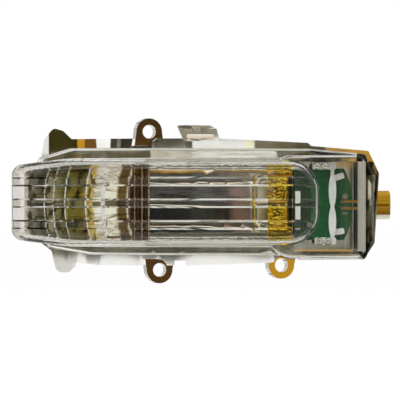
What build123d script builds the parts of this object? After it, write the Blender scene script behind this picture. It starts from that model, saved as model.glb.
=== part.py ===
from build123d import *
import math
import os

os.makedirs("parts", exist_ok=True)

# Indicator lamp of a door mirror. X runs to the inboard end, Y from the lens face to the back, Z up.
# It is drawn about the middle of its window and moved at the end onto the upper screw hole.

# Sweep of the lens face in plan: radii from the inboard end outward, and the turn each one reaches
sweep_start = 60.0
sweep_radii = (370.0, 130.0, 85.0, 16.0)
sweep_turns = (12.0, 26.0, 44.5, 90.0)
end_run = 6.5
end_straight = 1.0

# Corner radii of the front outlines
fine_round = 0.4
small_round = 1.0
corner_round = 2.0
end_round = 3.0
shoulder_round = 4.0
flange_ease = 6.0
rim_shoulder = 9.0
rim_ease = 20.0

# Lens
lens_wall = 2.4
window_half = 17.3
window_setback = 15.9
window_corner = 13.0
window_round = 4.5
window_taper_start = -50.0
window_taper_angle = 6.7
window_ease = 50.0
flange_depth = 3.2
flange_top = 21.0
flange_bottom = 20.2
flange_reach = 3.5
flange_chamfer_top = 8.4
flange_chamfer_bottom = 6.4
flange_chamfer_run = 3.2
flange_sag = 1.8
flange_sag_run = 7.0
flange_round = 0.9
flange_outboard = -64.0
flange_end_half = 14.2
flange_shoulder = 3.4
flange_shoulder_run = 1.6
bead_pitch = 8.36
bead_width = 3.6
bead_height = 0.45
bead_flank = 0.65
bead_crown = 0.1
bead_offset = -0.3

# Raised cover over the circuit board
cover_depth = 1.5
cover_top = 18.0
cover_bottom = 21.0
cover_inboard = 63.0
cover_length = 37.0
cover_corner = 3.0
cover_round = 1.2
cover_step = 0.4

# Housing
housing_wall = 2.0
rim_wall = 2.2
rim_top = 24.6
rim_bottom = 24.2
rim_lip = 1.3
rim_outboard = -52.0
rim_fall_start = 5.0
rim_fall = 1.8
rim_step_run = 26.3
rim_step = 1.2
rim_end_fall = 1.9
rim_chamfer = 8.6
rim_foot = 5.6
rim_lower_fall = 1.2
rim_lean = 0.85
groove_run = 3.2
groove_angle = 17.0
mirror_depth = 21.0
mirror_outboard = -19.0
well_depth = 26.0
well_margin = 0.6
tooth_depth = 10.5
flute_angle = 17.0
flute_pitch = 1.7
flute_count = 5
tooth_widths = (10.4, 6.2, 8.2, 4.6, 3.6)
tooth_angles = (31.0, 21.0, 27.0, 32.0, 20.0, 28.0)
end_arc = 52.0
bowl_length = 15.5
bowl_half = 11.0
bowl_corner = 5.0
bowl_sink = 2.6
bowl_round = 1.8
ramp_length = 9.4
ramp_angle = 10.0
ramp_half = 9.4
notch_x = -7.4
notch_width = 4.2
notch_height = 1.9

# Screw eyelets
hole_radius = 2.65
eyelet_radius = 5.15
eyelet_wall = 4.0
seat_margin = 1.2
upper_eyelet = (-19.2, 27.2)
lower_eyelet = (-15.2, -25.9)
inboard_eyelet = (31.5, -24.0)
inboard_eyelet_sink = 2.6
eyelet_foot = 1.4
eyelet_gap = 0.8
screw_tilt = 18.0

# Locating ears and the hook on the upper edge
ear_wall = 2.2
ear_inboard = -48.5
ear_length = 9.3
ear_return = 3.0
ear_wing = 6.5
ear_root = 4.0
upper_ear_height = 29.0
lower_ear_height = 27.2
hook_left = -8.6
hook_width = 15.2
hook_top = 29.6
hook_lean = 2.6
hook_depth = 7.0
hook_lip = 3.2
hook_recess = 3.0
hook_rebate = 1.4

# Circuit board
board_wall = 1.6
board_face = 14.0
board_gap = 1.6
board_length = 22.4
board_top = 13.0
board_bottom = 14.4
board_bow = 3.4
rail_wall = 1.5
rail_inset = 2.2

# Retainer over the board and the stakes that hold it
stake_radius = 1.0
stake_head = 1.4
stake_head_wall = 1.1
stake_clearance = 0.1
stake_inset = 8.5
stake_pitch = 3.2
stake_top = 14.0
stake_bottom = 14.8
stake_margin = 0.4
retainer_wall = 2.6
retainer_reach = 6.0
retainer_width = 2.9
retainer_waist = 1.4
finger_length = 4.6
finger_width = 2.3
finger_lean = 18.0
finger_top = 9.8
finger_bottom = 11.2

# Light sources
led_height = 4.6
led_width = 1.9
led_depth = 2.5
led_pitch = 6.3
led_middle = -1.1
led_frame = 0.5
led_recess = 0.6

# Terminals and the round connector socket
socket_z = -0.95
socket_radius = 5.5
socket_wall = 1.5
socket_reach = 10.2
socket_floor = 0.4
socket_chamfer = 0.5
terminal_wall = 0.64
terminal_width = 1.0
terminal_pitch = 2.6
terminal_overlap = 4.8
terminal_end_gap = 4.6
terminal_point = 0.25
solder_radius = 0.85

# Small parts on the board: length, width and height of each body, and how far its end caps reach
resistor_size = (2.0, 1.25, 0.55)
diode_size = (2.6, 1.6, 1.1)
capacitor_radius = 1.15
capacitor_height = 1.2
end_cap = 0.4
chip_inset = 5.8
chip_heights = (6.4, -8.6)
edge_inset = 3.0
edge_heights = (2.3, -4.2)

# Working values: the cover sets where the window, flange, rim, board and socket lie
cover_outboard = cover_inboard - cover_length
window_inboard = cover_inboard - window_setback
flange_inboard = cover_inboard + flange_reach
flange_sag_start = cover_outboard + flange_sag_run
flange_back = flange_depth + lens_wall
rim_inboard = flange_inboard + rim_lip
rim_step_x = rim_inboard - rim_step_run
rim_back = flange_back + rim_wall
well_inboard = cover_inboard - lens_wall
board_inboard = well_inboard - board_gap
board_outboard = board_inboard - board_length
well_outboard = board_outboard - well_margin
bowl_outboard = well_outboard - bowl_length
bowl_depth = mirror_depth + bowl_sink
stake_x = board_outboard + stake_inset
retainer_x = stake_x + retainer_reach
terminal_start = board_inboard - terminal_overlap
socket_inboard = cover_inboard + socket_reach
end_corner = end_run - end_straight
ear_fold = ear_inboard - ear_length
ear_outboard = ear_fold - ear_return
far_margin = 20.0
far_inboard = rim_inboard + far_margin
high = hook_top + far_margin


def inward(turn):
    """Direction from the lens face into the lamp where the face has turned by that angle."""
    return Vector(math.sin(math.radians(turn)), math.cos(math.radians(turn)))


def sweep_arcs():
    """Centre, radius, first and last turn of each arc of the lens face."""
    arcs = []
    centre = Vector(sweep_start, sweep_radii[0])
    turn = 0.0
    for index, (radius, last) in enumerate(zip(sweep_radii, sweep_turns)):
        if index > 0:
            centre = centre - inward(turn) * (sweep_radii[index - 1] - radius)
        arcs.append((centre, radius, turn, last))
        turn = last
    return arcs


def face_line(depth):
    """Plan edges of the lens face moved that depth into the lamp, from the inboard end outward."""
    edges = []
    for centre, radius, first, last in sweep_arcs():
        stops = (first, (first + last) / 2, last)
        edges.append(ThreePointArc(*[centre - inward(turn) * (radius - depth) for turn in stops]))
    return edges


def face_place(x, depth):
    """Y and turn of the line that lies that depth behind the lens face, at one X."""
    if x >= sweep_start:
        return depth, 0.0
    for centre, radius, first, last in sweep_arcs():
        turn = math.degrees(math.asin(min(1.0, (centre.X - x) / (radius - depth))))
        if turn <= last:
            break
    return centre.Y - (radius - depth) * math.cos(math.radians(turn)), turn


end_depth = (face_line(0.0)[-1] @ 1).Y + end_run
far_back = end_depth + far_margin


def plan_area(depth, back, corner=0.0):
    """Plan face from the line at one depth back to a straight rear line."""
    line = face_line(depth)
    inboard = line[0] @ 0
    outboard = line[-1] @ 1
    rest = Polyline(outboard, (outboard.X, back), (far_inboard, back), (far_inboard, depth), inboard)
    area = make_face([*line, *rest.edges()])
    if corner > 0:
        rear = area.vertices().filter_by_position(Axis.Y, back - 0.01, back + 0.01).sort_by(Axis.X)[0]
        area = fillet(rear, corner)
    return area


def plan_block(area, low=-high, top=high):
    """Solid of a plan face between two heights."""
    return extrude(Pos(0, 0, low) * area, amount=top - low, dir=(0, 0, 1))


def front_block(shape, near=-far_margin, back=far_back):
    """Solid of a front outline between two depths."""
    return extrude(Pos(0, near, 0) * (Plane.XZ * shape), amount=back - near, dir=(0, 1, 0))


def layer(depth, wall, back=end_depth):
    """Plan solid of a wall that follows the lens face at one depth."""
    return plan_block(plan_area(depth, back)) - plan_block(plan_area(depth + wall, far_back))


def outline(points, radii):
    """Closed front outline through the points with a radius at each corner."""
    return make_face(FilletPolyline(*points, radius=radii, close=True).edges())


def window_outline():
    """Front outline of the raised window, which narrows towards the outboard end."""
    far = 2 * flange_outboard
    far_half = window_half - (window_taper_start - far) * math.tan(math.radians(window_taper_angle))
    points = [
        (window_inboard, window_half),
        (window_inboard, -window_half),
        (window_taper_start, -window_half),
        (far, -far_half),
        (far, far_half),
        (window_taper_start, window_half),
    ]
    return outline(points, [window_corner, window_corner, window_ease, 0, 0, window_ease])


def cover_outline():
    """Front outline of the raised cover over the circuit board."""
    points = [
        (cover_inboard, cover_top),
        (cover_inboard, -cover_bottom),
        (cover_outboard, -cover_bottom),
        (cover_outboard, cover_top),
    ]
    return outline(points, [cover_corner, cover_corner, 3 * cover_corner, 3 * cover_corner])


def flange_outline():
    """Front outline of the lens flange."""
    shoulder = flange_end_half + flange_shoulder
    points = [
        (2 * flange_outboard, flange_end_half),
        (flange_outboard, flange_end_half),
        (flange_outboard + flange_shoulder_run, shoulder),
        (window_taper_start, flange_top),
        (rim_step_x, flange_top - flange_sag / 4),
        (flange_inboard - flange_chamfer_run, cover_top + cover_step),
        (flange_inboard, cover_top + cover_step - flange_chamfer_top),
        (flange_inboard, -cover_bottom + flange_chamfer_bottom),
        (flange_inboard - flange_chamfer_run, -cover_bottom - 0.7),
        (flange_sag_start + 3 * flange_sag, -flange_bottom - flange_sag),
        (flange_sag_start, -flange_bottom),
        (window_taper_start + 8, -flange_bottom),
        (flange_outboard + 3 * flange_shoulder_run, -shoulder),
        (flange_outboard, -flange_end_half),
        (2 * flange_outboard, -flange_end_half),
    ]
    top = [0, small_round, small_round, flange_ease, flange_ease, small_round, small_round]
    bottom = [small_round, corner_round, shoulder_round, shoulder_round, flange_ease, end_round, small_round, 0]
    return outline(points, top + bottom)


def raised(front, depth, round_radius, inset=0.0):
    """Raised shell volume of a front outline: its face follows the lens face at that depth."""
    shape = offset(front, amount=-inset) if inset > 0 else front
    corner = end_corner - inset
    area = plan_area(depth + inset, end_depth - inset, corner)
    block = front_block(shape) & plan_block(area)
    block = block.solids().sort_by(SortBy.VOLUME)[-1]
    edges = block.edges().filter_by(Axis.Y, reverse=True).filter_by(Axis.Z, reverse=True)
    ends = block.edges().filter_by(Axis.Z).sort_by(Axis.X)[-1:]
    return fillet([*edges, *ends], round_radius)


def bead(height):
    """Bead with sloping flanks and a low crown that runs along the back of the window wall at one height."""
    path = Wire(face_line(lens_wall))
    start = path @ 0
    half = bead_width / 2
    section = Plane(origin=(start.X, start.Y, height), x_dir=(0, 1, 0), z_dir=(-1, 0, 0))
    top = half - bead_flank
    root = Polyline(
        (bead_height, -top),
        (0, -half),
        (-lens_wall / 2, -half),
        (-lens_wall / 2, half),
        (0, half),
        (bead_height, top),
    )
    crown = ThreePointArc((bead_height, top), (bead_height + bead_crown, 0), (bead_height, -top))
    return sweep(section * make_face([*root.edges(), crown]), path=path)


def lens_flange():
    """Welding flange with its rounded upper and lower edges."""
    block = front_block(flange_outline()) & plan_block(plan_area(flange_depth, end_depth))
    block = block.solids().sort_by(SortBy.VOLUME)[-1]
    rows = block.edges().filter_by(Axis.Y, reverse=True).filter_by(Axis.Z, reverse=True)
    near = [edge for edge in rows if edge.center().Y < end_depth - flange_back]
    front = [edge for edge in near if edge.center().X > flange_outboard]
    ends = block.edges().filter_by(Axis.Z).sort_by(Axis.X)[-1:]
    return fillet([*front, *ends], flange_round) - plan_block(plan_area(flange_back, far_back))


def front_lens():
    """Clear moulding: raised window with beads behind it, cover over the board and welding flange."""
    window = raised(window_outline(), 0.0, window_round)
    hollow = raised(window_outline(), 0.0, window_round - lens_wall, lens_wall)
    cover = raised(cover_outline(), cover_depth, cover_round)
    cover_hollow = front_block(offset(cover_outline(), amount=-lens_wall)) & plan_block(
        plan_area(cover_depth + lens_wall, far_back)
    )
    lens = window + cover + lens_flange() - hollow - cover_hollow
    lens -= plan_block(plan_area(flange_back, far_back))
    inner = front_block(offset(window_outline(), amount=-lens_wall / 2))
    for step in (-1, 0, 1):
        lens += bead(bead_offset + step * bead_pitch) & inner
    return lens


def rim_outline():
    """Front outline of the housing rim that carries the lens flange."""
    top_end = rim_top - rim_fall - rim_step - rim_end_fall
    points = [
        (2 * flange_outboard, flange_end_half),
        (flange_outboard, flange_end_half),
        (rim_outboard, rim_top),
        (rim_fall_start, rim_top),
        (rim_step_x, rim_top - rim_fall),
        (rim_step_x + rim_step, rim_top - rim_fall - rim_step),
        (rim_inboard - flange_chamfer_run, top_end),
        (rim_inboard + rim_lean, top_end - rim_chamfer),
        (rim_inboard - rim_lean, -cover_bottom + rim_foot),
        (rim_inboard - flange_chamfer_run - rim_step, -cover_bottom),
        (flange_sag_start + rim_step, -cover_bottom),
        (flange_sag_start - rim_foot, -rim_bottom + rim_lower_fall),
        (-rim_fall_start, -rim_bottom),
        (2 * mirror_outboard, -rim_bottom),
        (rim_outboard, -rim_bottom + rim_lower_fall),
        (flange_outboard, -flange_end_half),
        (2 * flange_outboard, -flange_end_half),
    ]
    top = [0, shoulder_round, shoulder_round, rim_shoulder, fine_round, fine_round, small_round, corner_round]
    foot = [corner_round, corner_round, corner_round, end_round]
    bottom = [rim_ease, rim_ease, shoulder_round, shoulder_round, 0]
    return outline(points, top + foot + bottom)


def teeth():
    """Right X, left X, valley Y and tip Y of each tooth of the reflector beyond the flat mirror."""
    widths = [flute_pitch] * flute_count + list(tooth_widths)
    angles = [flute_angle] * flute_count + list(tooth_angles)
    lefts = [mirror_outboard - sum(widths[: count + 1]) for count in range(len(widths))]
    lefts.append((face_line(0.0)[-1] @ 1).X + flange_back + housing_wall)
    right = mirror_outboard
    found = []
    for left, angle in zip(lefts, angles):
        tip = face_place(left, tooth_depth)[0]
        valley = tip + (right - left) * math.tan(math.radians(angle))
        found.append((right, left, valley, tip))
        right = left
    return found


def bowed_strip(right, left, half):
    """Front outline between two arcs that bow towards the outboard end."""
    sag = end_arc - math.sqrt(end_arc**2 - half**2)
    right_arc = ThreePointArc((right + sag, half), (right, 0), (right + sag, -half))
    left_arc = ThreePointArc((left + sag, -half), (left, 0), (left + sag, half))
    lower = Line(right_arc @ 1, left_arc @ 0)
    upper = Line(left_arc @ 1, right_arc @ 0)
    return make_face([right_arc, lower, left_arc, upper])


def floor_block(points):
    """Solid in front of a reflector floor line that is given from the inboard end outward."""
    corners = [*points, (points[-1][0], -far_margin), (points[0][0], -far_margin)]
    return plan_block(make_face(Polyline(*corners, close=True).edges()))


def cavity():
    """Hollow of the housing in front of the reflector and round the circuit board."""
    window = front_block(offset(window_outline(), amount=-lens_wall))
    well = front_block(offset(cover_outline(), amount=-lens_wall), back=well_depth)
    well &= floor_block([(far_inboard, well_depth), (well_outboard, well_depth)])
    rows = teeth()
    floor = [(well_outboard + 1, mirror_depth), (mirror_outboard, mirror_depth)]
    for right, left, valley, tip in rows[:flute_count]:
        floor += [(right, valley), (left, tip)]
    hollow = floor_block(floor) & window
    for right, left, valley, tip in rows[flute_count:]:
        slope = (valley - tip) / (right - left)
        slack = tooth_depth
        front = floor_block([(right + slack, valley + slack * slope), (left - slack, tip - slack * slope)])
        hollow += front & front_block(bowed_strip(right, left, window_half)) & window
    bowl_width = well_outboard - bowl_outboard + 2 * bowl_corner
    bowl_face = Pos(bowl_outboard + bowl_width / 2, 0) * RectangleRounded(bowl_width, 2 * bowl_half, bowl_corner)
    bowl = front_block(bowl_face, mirror_depth - bowl_sink, mirror_depth + bowl_sink)
    bowl = fillet(bowl.faces().sort_by(Axis.Y)[-1].edges(), bowl_round)
    bowl &= floor_block([(well_outboard + 1, well_depth), (mirror_outboard, well_depth)])
    return hollow + bowl + well


def bowl_ramp():
    """Ramp in the bowl that throws the light of the sources forward."""
    tip = (well_outboard - ramp_length, mirror_depth - ramp_length * math.tan(math.radians(ramp_angle)))
    root = bowl_depth + housing_wall / 2
    section = Polyline((well_outboard, mirror_depth), tip, (tip[0], root), (well_outboard, root), close=True)
    return plan_block(make_face(section.edges()), -ramp_half, ramp_half)


def end_groove():
    """Cutter of the sloping groove in the rim beside the inboard wall of the lens cover."""
    left = cover_inboard + rim_lip / 2
    floor = flange_back + groove_run * math.tan(math.radians(groove_angle))
    right = left + groove_run
    section = Polyline((left, 0), (left, floor), (right, flange_back), (right, 0), close=True)
    return plan_block(make_face(section.edges()), rim_foot - cover_bottom, rim_top - rim_chamfer - rim_foot)


def tub():
    """Outside of the housing behind its rim."""
    window = front_block(offset(window_outline(), amount=housing_wall - lens_wall))
    well = front_block(offset(cover_outline(), amount=housing_wall - lens_wall))
    rows = teeth()
    first = rows[flute_count]
    last = rows[-1]
    end = last[1] - housing_wall
    middle_back = bowl_depth + housing_wall
    middle = floor_block(
        [
            (well_outboard + housing_wall, middle_back),
            (mirror_outboard, middle_back),
            (first[0] + housing_wall, first[2] + housing_wall),
            (last[0] + housing_wall, last[2] + housing_wall),
            (end, end_depth),
        ]
    )
    middle &= front_block(bowed_strip(far_inboard, end, 1.1 * window_half)) & window
    well_back = well_depth + housing_wall
    deep = floor_block([(far_inboard, well_back), (well_outboard - housing_wall, well_back)])
    return (middle + (deep & well)) & plan_block(plan_area(flange_back, far_back))


def eyelet_plane(place, sink=0.0):
    """Plane on the front of an eyelet, square to the common screw direction, its normal into the lamp."""
    y = face_place(place[0], flange_back + sink)[0]
    normal = inward(-screw_tilt)
    side = Vector(normal.Y, -normal.X, 0)
    return Plane(origin=(place[0], y, place[1]), x_dir=side, z_dir=(normal.X, normal.Y, 0))


def eyelet(place, sink=0.0):
    """Screw eyelet with its web, which runs behind the lens flange to the tub."""
    plane = eyelet_plane(place, sink)
    drop = place[1] - math.copysign(window_half, place[1])
    foot = eyelet_radius + eyelet_foot
    web = [(-eyelet_radius, 0), (eyelet_radius, 0), (foot, drop), (-foot, drop)]
    shape = Circle(eyelet_radius) + make_face(Polyline(*web, close=True).edges())
    whole = extrude(plane * shape, amount=eyelet_wall)
    low = whole & Box(4 * far_inboard, 4 * far_back, 2 * (flange_top + eyelet_gap))
    return whole - low + (low & plan_block(plan_area(flange_back, far_back)))


def eyelet_hole(place, sink=0.0):
    """Cutter of the screw hole of an eyelet and of the seat for the screw in front of it."""
    plane = eyelet_plane(place, sink)
    hole = extrude(plane * Circle(hole_radius), amount=2 * eyelet_wall)
    seat = extrude(plane * Circle(hole_radius + seat_margin), amount=-2 * eyelet_wall)
    return hole + seat


def ear(front, wing):
    """Locating ear: a wall along the rim, bent back into a wing at its outboard edge when asked."""
    depth = flange_back + ear_wall / 2
    inboard = (ear_inboard, face_place(ear_inboard, depth)[0])
    fold = (ear_fold, face_place(ear_fold, depth)[0])
    outer = (ear_outboard, fold[1] + wing)
    wall = plan_block(trace(Polyline(inboard, fold, outer), ear_wall))
    return front_block(front) & wall & plan_block(plan_area(flange_back, far_back))


def upper_ear():
    """Upper locating ear with its wing and the small notch in it."""
    shoulder = rim_top + housing_wall
    root = window_half - ear_root
    points = [
        (ear_inboard, root),
        (ear_inboard, rim_top - ear_root / 4),
        (ear_inboard - 2 * ear_wall, upper_ear_height - 1.2),
        (ear_fold + 1, upper_ear_height),
        (ear_outboard + 0.2, shoulder - 2),
        (ear_outboard - ear_wall, root),
    ]
    notch = Pos(ear_outboard, 0, rim_top - 1) * Box(ear_wall, 4 * ear_wing, ear_wall)
    radii = [0, small_round, corner_round, corner_round, small_round, 0]
    return ear(outline(points, radii), ear_wing) - notch


def lower_ear():
    """Lower locating ear, a rounded wall."""
    root = ear_root - window_half
    points = [
        (ear_inboard + 2 * ear_wall, root),
        (ear_inboard + ear_wall, -rim_bottom + 1),
        (ear_inboard - ear_wall, -lower_ear_height),
        (ear_fold + ear_wall, -lower_ear_height),
        (ear_fold - ear_wall / 2, root),
    ]
    return ear(outline(points, [0, corner_round, corner_round, end_round, 0]), ear_wall)


def hook():
    """Hook on the upper edge of the rim with the pocket under its lip."""
    right = hook_left + hook_width
    front = face_place(hook_left, flange_back - hook_recess)[0]
    points = [
        (hook_left, hook_top),
        (right - hook_lean, hook_top),
        (right, hook_top - hook_lean / 2),
        (right + hook_lean / 2, rim_top - 1),
        (hook_left + hook_lean, rim_top - 1),
    ]
    block = front_block(outline(points, [fine_round, small_round, small_round, fine_round, fine_round]))
    block &= layer(flange_back - hook_recess, hook_depth)
    pocket_low = rim_top - 0.6
    pocket_high = hook_top - hook_lip
    middle = ((hook_left + right + hook_lean) / 2, front - hook_recess, (pocket_low + pocket_high) / 2)
    pocket = Pos(*middle) * Box(hook_width - 2 * hook_lean, 4 * hook_recess, pocket_high - pocket_low)
    rebate = layer(flange_back - hook_recess, hook_rebate)
    rebate &= plan_block(plan_area(0.0, end_depth), hook_top - hook_rebate, high)
    return block - rebate - fillet(pocket.edges().filter_by(Axis.Y), fine_round)


def socket_axis_y():
    """Depth of the socket axis, on the middle of the blades that lie on the board."""
    return board_face - terminal_wall / 2


def socket_body():
    """Round connector shroud on the inboard wall."""
    turned = Plane(origin=(well_inboard, socket_axis_y(), socket_z), x_dir=(0, 1, 0), z_dir=(1, 0, 0))
    shroud = extrude(turned * Circle(socket_radius), amount=socket_inboard - well_inboard)
    return chamfer(shroud.edges().sort_by(Axis.X)[-1], socket_chamfer)


def socket_hollow():
    """Hollow of the connector shroud."""
    floor = well_inboard + housing_wall + socket_floor
    turned = Plane(origin=(floor, socket_axis_y(), socket_z), x_dir=(0, 1, 0), z_dir=(1, 0, 0))
    return extrude(turned * Circle(socket_radius - socket_wall), amount=socket_inboard - floor + 1)


def stake_places():
    """Front positions of the four stakes."""
    upper = [(stake_x + step * stake_pitch, stake_top) for step in (0, 1)]
    lower = [(stake_x + 1 + step * stake_pitch, -stake_bottom) for step in (0, 1)]
    return upper + lower


def cylinder_y(place, radius, near, back):
    """Cylinder along Y at a front position."""
    return front_block(Pos(*place) * Circle(radius), near, back)


def stakes():
    """Stakes from the well floor with the heads that were formed over the retainer."""
    shape = Part()
    head_back = board_face - retainer_wall
    for place in stake_places():
        post = cylinder_y(place, stake_radius, head_back, well_depth + housing_wall / 2)
        head = cylinder_y(place, stake_head, head_back - stake_head_wall, head_back)
        shape += post + fillet(head.edges().sort_by(Axis.Y)[0], 0.9 * stake_head_wall)
    return shape


def rails():
    """Two rails in the well that the board rests on."""
    shape = Part()
    back = board_face + board_wall
    length = board_inboard - well_outboard - 2 * rail_inset
    for height in (board_top - rail_inset, -board_bottom + rail_inset):
        middle = (well_outboard + length / 2 + rail_inset / 2, (back + well_depth) / 2 + 0.5, height)
        shape += Pos(*middle) * Box(length, well_depth - back + 1, rail_wall)
    return shape


def rear_housing():
    """Plated moulding: tub with its reflector, rim, eyelets, ears, hook, socket, rails and stakes."""
    rim = layer(flange_back, rim_wall) & front_block(rim_outline())
    body = rim + tub()
    body += eyelet(upper_eyelet) + eyelet(lower_eyelet)
    body += eyelet(inboard_eyelet, inboard_eyelet_sink)
    body += upper_ear() + lower_ear() + hook() + socket_body()
    notch = Pos(notch_x, 0, -rim_bottom) * Box(notch_width, 4 * mirror_depth, 2 * notch_height)
    body -= notch & plan_block(plan_area(0.0, far_back)) - plan_block(plan_area(rim_back, far_back))
    body -= cavity() + end_groove()
    body += rails() + stakes() + bowl_ramp()
    body -= socket_hollow()
    body -= eyelet_hole(upper_eyelet) + eyelet_hole(lower_eyelet)
    body -= eyelet_hole(inboard_eyelet, inboard_eyelet_sink)
    for blade in terminals():
        body -= blade
    return body


def circuit_board():
    """Board with a bowed inboard edge and round notches for the lower stakes."""
    low = -board_bottom
    bow = ThreePointArc(
        (board_inboard - board_bow, board_top),
        (board_inboard, (board_top + low) / 2),
        (board_inboard - board_bow, low),
    )
    sides = Polyline(bow @ 1, (board_outboard, low), (board_outboard, board_top), bow @ 0)
    shape = make_face([bow, *sides.edges()])
    board = front_block(shape, board_face, board_face + board_wall)
    for place in stake_places():
        board -= cylinder_y(place, stake_radius + stake_clearance, board_face - 1, board_face + 2 * board_wall)
    return board


def board_retainer():
    """Bar with two swellings, a perforated plate at each end and two fingers over the board."""
    places = stake_places()
    near = board_face - retainer_wall
    upper_reach = stake_top + stake_radius + stake_margin
    lower_reach = stake_bottom + stake_radius + stake_margin
    bar = Pos(retainer_x, (upper_reach - lower_reach) / 2) * Rectangle(retainer_waist, upper_reach + lower_reach)
    for height, half in ((4.6, 6.6), (-7.4, 6.2)):
        bar += Pos(retainer_x, height) * Ellipse(retainer_width / 2, half)
    for first, reach, sign in ((places[0], upper_reach, 1), (places[2], lower_reach, -1)):
        left = first[0] - stake_head - stake_margin
        plate_height = 2 * (stake_radius + stake_margin)
        middle = ((left + retainer_x + retainer_width / 2) / 2, sign * (reach - plate_height / 2))
        plate = RectangleRounded(retainer_x + retainer_width / 2 - left, plate_height, 0.8)
        bar += Pos(*middle) * plate
    shape = front_block(bar, near, board_face)
    for height, lean in ((finger_top, finger_lean), (-finger_bottom, finger_lean / 2)):
        finger = Pos(retainer_x + finger_length / 2, height) * Rot(0, 0, lean) * RectangleRounded(
            finger_length, finger_width, 0.6
        )
        shape += front_block(finger, near + retainer_wall / 2, board_face)
    for place in places:
        shape -= cylinder_y(place, stake_radius + stake_clearance, near - 1, board_face + 1)
    return shape


def led_places():
    """Name and height of the middle of each light source."""
    return (("upper", led_middle + led_pitch / 2), ("lower", led_middle - led_pitch / 2))


def led_body(height):
    """Light source package with its open side to the reflector."""
    left = board_outboard + 0.3
    middle = (left + led_width / 2, board_face - led_depth / 2, height)
    return Pos(*middle) * Box(led_width, led_depth, led_height) - led_resin(height)


def led_resin(height):
    """Resin that fills the open side of a package."""
    left = board_outboard + 0.3
    middle = (left + led_recess / 2, board_face - led_depth / 2, height)
    return Pos(*middle) * Box(led_recess, led_depth - 2 * led_frame, led_height - 2 * led_frame)


def terminals():
    """The two blades from the board through the inboard wall into the socket."""
    blades = []
    end = socket_inboard - terminal_end_gap
    for sign in (1, -1):
        middle = ((terminal_start + end) / 2, socket_axis_y(), socket_z + sign * terminal_pitch / 2)
        blade = Pos(*middle) * Box(end - terminal_start, terminal_wall, terminal_width)
        tip = blade.faces().sort_by(Axis.X)[-1].edges()
        blades.append(chamfer(tip, terminal_point))
    return blades


def solder_joints():
    """Solder cones that hold the blades to the board."""
    shape = Part()
    for sign in (1, -1):
        place = (terminal_start + solder_radius, socket_z + sign * terminal_pitch / 2)
        mound = cylinder_y(place, solder_radius, board_face - 1.4 * terminal_wall, board_face)
        shape += chamfer(mound.edges().sort_by(Axis.Y)[0], terminal_wall / 2)
    for blade in terminals():
        shape -= blade
    return shape


def chip(place, size, turn=0.0):
    """Two-ended part on the board: a body between two slightly larger end caps."""
    length, width, height = size
    body = Box(length - 2 * end_cap, width, height)
    for sign in (1, -1):
        cap = Box(end_cap, 1.06 * width, 1.08 * height, align=(Align.CENTER, Align.CENTER, Align.MIN))
        body += Pos(sign * (length - end_cap) / 2, 0, -height / 2) * cap
    plane = Plane(origin=(place[0], board_face, place[1]), x_dir=(1, 0, 0), z_dir=(0, -1, 0))
    return plane * Rot(0, 0, turn) * Pos(0, 0, height / 2) * body


def capacitor(place):
    """Round can on the board."""
    can = cylinder_y(place, capacitor_radius, board_face - capacitor_height, board_face)
    return chamfer(can.edges().sort_by(Axis.Y)[0], end_cap / 2)


def pieces():
    """Every piece under its node name."""
    named = {
        "rear_housing": rear_housing(),
        "front_lens": front_lens(),
        "circuit_board": circuit_board(),
        "board_retainer": board_retainer(),
        "solder_joints": solder_joints(),
        "resistor_upper": chip((board_outboard + chip_inset, chip_heights[0]), resistor_size),
        "resistor_lower": chip((board_outboard + chip_inset, chip_heights[1]), resistor_size),
        "resistor_edge": chip((board_inboard - edge_inset, edge_heights[1]), resistor_size),
        "diode": chip((board_outboard + chip_inset, led_middle), diode_size, 90.0),
        "capacitor": capacitor((board_inboard - edge_inset, edge_heights[0])),
    }
    for name, height in led_places():
        named["led_body_" + name] = led_body(height)
        named["led_resin_" + name] = led_resin(height)
    for name, blade in zip(("upper", "lower"), terminals()):
        named["terminal_" + name] = blade
    return named


origin = eyelet_plane(upper_eyelet).origin
for name, piece in pieces().items():
    export_step(Pos(-origin.X, -origin.Y, -origin.Z) * piece, "parts/" + name + ".step")
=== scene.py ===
import logging
import math
from dataclasses import dataclass
from enum import Enum
from functools import reduce
from typing import Any

import bmesh
import bpy
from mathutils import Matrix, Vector


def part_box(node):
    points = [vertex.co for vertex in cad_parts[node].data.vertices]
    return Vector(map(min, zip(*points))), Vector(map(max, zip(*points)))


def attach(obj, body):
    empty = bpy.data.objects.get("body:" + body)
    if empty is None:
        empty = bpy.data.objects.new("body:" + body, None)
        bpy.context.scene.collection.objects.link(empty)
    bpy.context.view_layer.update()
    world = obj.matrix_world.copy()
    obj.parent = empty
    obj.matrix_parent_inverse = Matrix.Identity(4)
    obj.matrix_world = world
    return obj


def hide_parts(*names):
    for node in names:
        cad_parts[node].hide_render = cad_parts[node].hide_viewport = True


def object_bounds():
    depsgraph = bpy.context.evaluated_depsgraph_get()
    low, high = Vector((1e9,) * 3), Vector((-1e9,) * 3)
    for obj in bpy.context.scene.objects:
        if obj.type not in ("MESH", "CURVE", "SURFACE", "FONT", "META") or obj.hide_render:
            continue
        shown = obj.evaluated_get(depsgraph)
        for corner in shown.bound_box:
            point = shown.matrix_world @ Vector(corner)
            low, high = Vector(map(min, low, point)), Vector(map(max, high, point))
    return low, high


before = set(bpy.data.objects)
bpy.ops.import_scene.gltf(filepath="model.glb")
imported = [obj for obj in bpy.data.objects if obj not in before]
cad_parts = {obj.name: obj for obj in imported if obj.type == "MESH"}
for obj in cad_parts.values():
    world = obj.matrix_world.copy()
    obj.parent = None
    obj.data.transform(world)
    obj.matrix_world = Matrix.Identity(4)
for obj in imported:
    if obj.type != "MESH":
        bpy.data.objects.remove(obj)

CAD_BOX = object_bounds()
MM = 0.001
DEGREES = 180 / math.pi
DOUBLES = 0.0005 * MM
FLAT_ANGLE = 0.4
FAVOUR_LARGE_FACES = 100
WHITE = (1.0, 1.0, 1.0)
LOG = logging.getLogger("indicator_lamp")

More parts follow.
